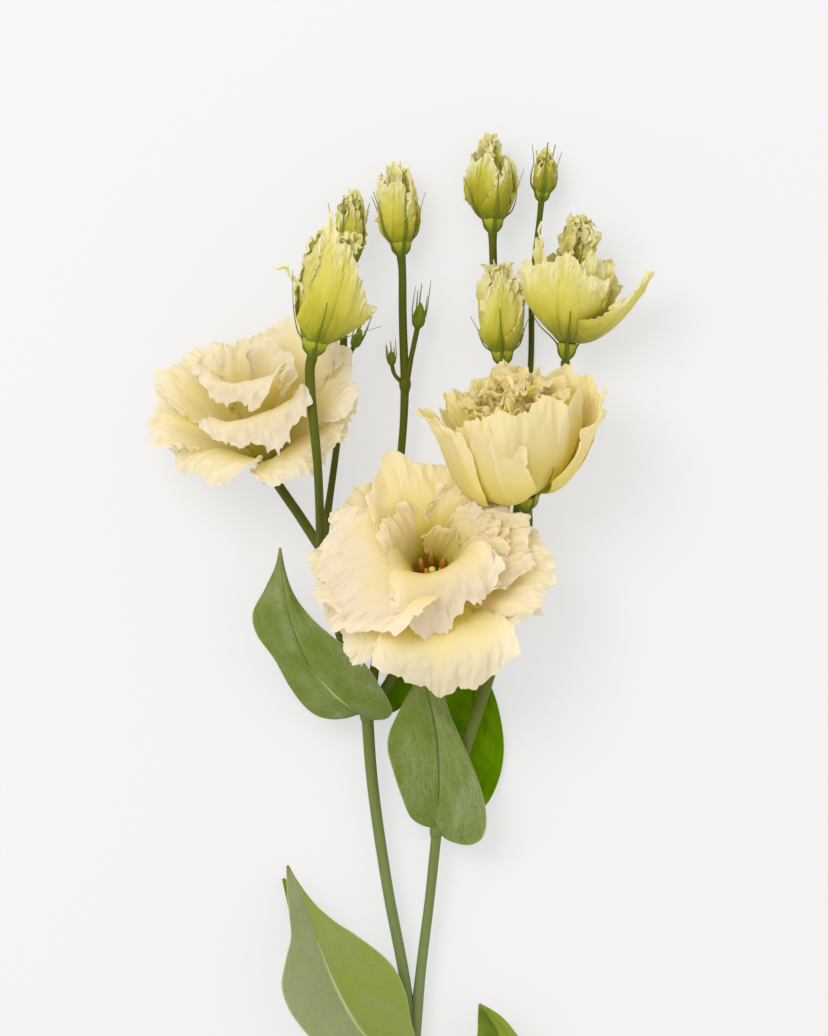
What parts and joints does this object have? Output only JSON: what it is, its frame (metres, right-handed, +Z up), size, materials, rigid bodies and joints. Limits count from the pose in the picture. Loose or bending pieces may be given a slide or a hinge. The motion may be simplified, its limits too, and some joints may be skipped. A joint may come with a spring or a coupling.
{
  "type": "lisianthus spray",
  "caption": "Cut branching spray of double lisianthus lying flat: fringed cream blooms, pale green opening buds and clasping leaves on slim forked stems.",
  "frame": {"origin": "middle of the underside of the whole spray's box, on the surface that it lies on", "axes": "+Y up the spray from the cut end to the topmost bud, +Z up from the surface, +X to the right seen from above"},
  "size_m": [0.1542, 0.3642, 0.0598],
  "materials": {
    "cream_petal": "matte",
    "green_petal": "matte",
    "stem": "satin",
    "calyx": "satin",
    "leaf": "matte",
    "stamen": "matte"
  },
  "bodies": {
    "root": {"stems": "stem", "front_bloom_petals": "cream_petal", "front_bloom_calyx": "calyx", "front_bloom_stamens": "stamen", "left_bloom_petals": "cream_petal", "left_bloom_calyx": "calyx", "left_bloom_stamens": "stamen", "right_bloom_petals": "cream_petal", "right_bloom_calyx": "calyx", "right_bloom_stamens": "stamen", "tall_bud_petals": "green_petal", "tall_bud_calyx": "calyx", "hidden_bud_petals": "green_petal", "hidden_bud_calyx": "calyx", "paired_bud_petals": "green_petal", "paired_bud_calyx": "calyx", "top_bud_petals": "green_petal", "top_bud_calyx": "calyx", "low_bud_petals": "green_petal", "low_bud_calyx": "calyx", "closed_bud_petals": "green_petal", "closed_bud_calyx": "calyx", "cup_bud_petals": "green_petal", "cup_bud_calyx": "calyx", "tiny_bud_left": "calyx", "tiny_bud_middle": "calyx", "tiny_bud_right": "calyx", "left_leaf": "leaf", "left_back_leaf": "leaf", "right_leaf": "leaf", "right_back_leaf": "leaf", "fork_leaf": "leaf", "fork_back_leaf": "leaf", "fork_right_leaf": "leaf"}
  },
  "joints": []
}
